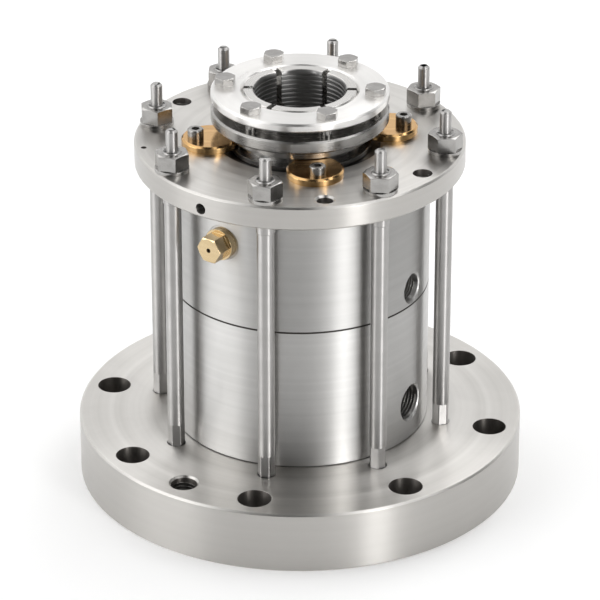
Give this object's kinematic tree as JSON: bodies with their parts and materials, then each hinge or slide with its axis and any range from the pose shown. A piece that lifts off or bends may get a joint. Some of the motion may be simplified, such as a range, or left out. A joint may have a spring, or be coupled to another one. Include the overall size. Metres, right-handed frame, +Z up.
{
  "type": "cartridge mechanical seal",
  "caption": "Cartridge mechanical seal on a round bolted flange, with tie rods, ported housing, cover plate, clamped shaft sleeve and brass setting cams.",
  "frame": {"origin": "centre of the mounting flange's underside", "axes": "+Z up the shaft axis; the -Y side carries the first bolt hole and tie rod; the ports face about +X"},
  "size_m": [0.24, 0.24, 0.227],
  "materials": {
    "flange_steel": "fine turned satin stainless steel",
    "housing_steel": "polished turned stainless steel",
    "rod_steel": "bright drawn stainless steel",
    "sleeve_steel": "bright turned stainless steel",
    "screw_steel": "bright stainless steel",
    "cam_brass": "polished turned brass",
    "plug_brass": "bright turned brass",
    "washer_metal": "dull brass",
    "bearing_steel": "ground bearing steel",
    "cage_polymer": "natural polyamide",
    "seal_rubber": "black fluorocarbon rubber",
    "carbide": "lapped silicon carbide",
    "carbon": "lapped carbon graphite",
    "head_steel": "turned stainless steel",
    "spring_steel": "drawn spring wire"
  },
  "bodies": {
    "housing": {"base_flange": "flange_steel", "lower_housing": "housing_steel", "upper_housing": "housing_steel", "cover_plate": "flange_steel", "tie_rods": "rod_steel", "tie_rod_washers": "rod_steel", "tie_rod_nuts": "rod_steel", "vent_plug": "plug_brass", "vent_plug_washer": "washer_metal", "cam_screws": "screw_steel", "bearing_outer_ring": "bearing_steel", "shaft_lip_seal": "seal_rubber", "lower_seat": "carbide", "upper_seat": "carbide", "seat_o_rings": "seal_rubber", "seat_pins": "screw_steel", "housing_o_rings": "seal_rubber", "flange_o_ring": "seal_rubber"},
    "rotor": {"shaft_sleeve": "sleeve_steel", "drive_ring": "sleeve_steel", "clamp_ring": "sleeve_steel", "clamp_screws": "screw_steel", "shaft_o_rings": "seal_rubber", "bearing_inner_ring": "bearing_steel", "bearing_circlips": "bearing_steel", "spring_collar": "head_steel", "collar_set_screws": "screw_steel", "drive_pins": "screw_steel", "lower_springs": "spring_steel", "upper_springs": "spring_steel"},
    "ball_set": {"bearing_cage": "cage_polymer", "bearing_balls": "bearing_steel"},
    "lower_seal_head": {"lower_seal_face": "carbon", "lower_face_carrier": "head_steel", "lower_face_o_ring": "seal_rubber"},
    "upper_seal_head": {"upper_seal_face": "carbon", "upper_face_carrier": "head_steel", "upper_face_o_ring": "seal_rubber"},
    "cam_1": {"assembly_cam_1": "cam_brass"},
    "cam_2": {"assembly_cam_2": "cam_brass"},
    "cam_3": {"assembly_cam_3": "cam_brass"},
    "cam_4": {"assembly_cam_4": "cam_brass"}
  },
  "joints": [
    {"name": "sleeve_spin", "type": "hinge", "parent": "housing", "child": "rotor", "pos_m": [0, 0, 0.1], "axis": [0, 0, 1], "continuous": true},
    {"name": "ball_set_spin", "type": "hinge", "parent": "housing", "child": "ball_set", "pos_m": [0, 0, 0.164], "axis": [0, 0, 1], "continuous": true},
    {"name": "lower_head_float", "type": "slide", "parent": "rotor", "child": "lower_seal_head", "axis": [0, 0, 1], "range_m": [0, 0.002], "stiffness_N_per_m": 8000, "springref_m": -0.01, "deforming": ["lower_springs"]},
    {"name": "upper_head_float", "type": "slide", "parent": "rotor", "child": "upper_seal_head", "axis": [0, 0, -1], "range_m": [0, 0.002], "stiffness_N_per_m": 8000, "springref_m": -0.01, "deforming": ["upper_springs"]},
    {"name": "cam_1_swing", "type": "hinge", "parent": "housing", "child": "cam_1", "pos_m": [0.02124, -0.05128, 0.197], "axis": [0, 0, 1], "range_deg": [0, 180]},
    {"name": "cam_2_swing", "type": "hinge", "parent": "housing", "child": "cam_2", "pos_m": [0.05128, 0.02124, 0.197], "axis": [0, 0, 1], "range_deg": [0, 180]},
    {"name": "cam_3_swing", "type": "hinge", "parent": "housing", "child": "cam_3", "pos_m": [-0.02124, 0.05128, 0.197], "axis": [0, 0, 1], "range_deg": [0, 180]},
    {"name": "cam_4_swing", "type": "hinge", "parent": "housing", "child": "cam_4", "pos_m": [-0.05128, -0.02124, 0.197], "axis": [0, 0, 1], "range_deg": [0, 180]}
  ],
  "couplings": [
    {"joint": "ball_set_spin", "follows": "sleeve_spin", "ratio": 0.40662}
  ]
}
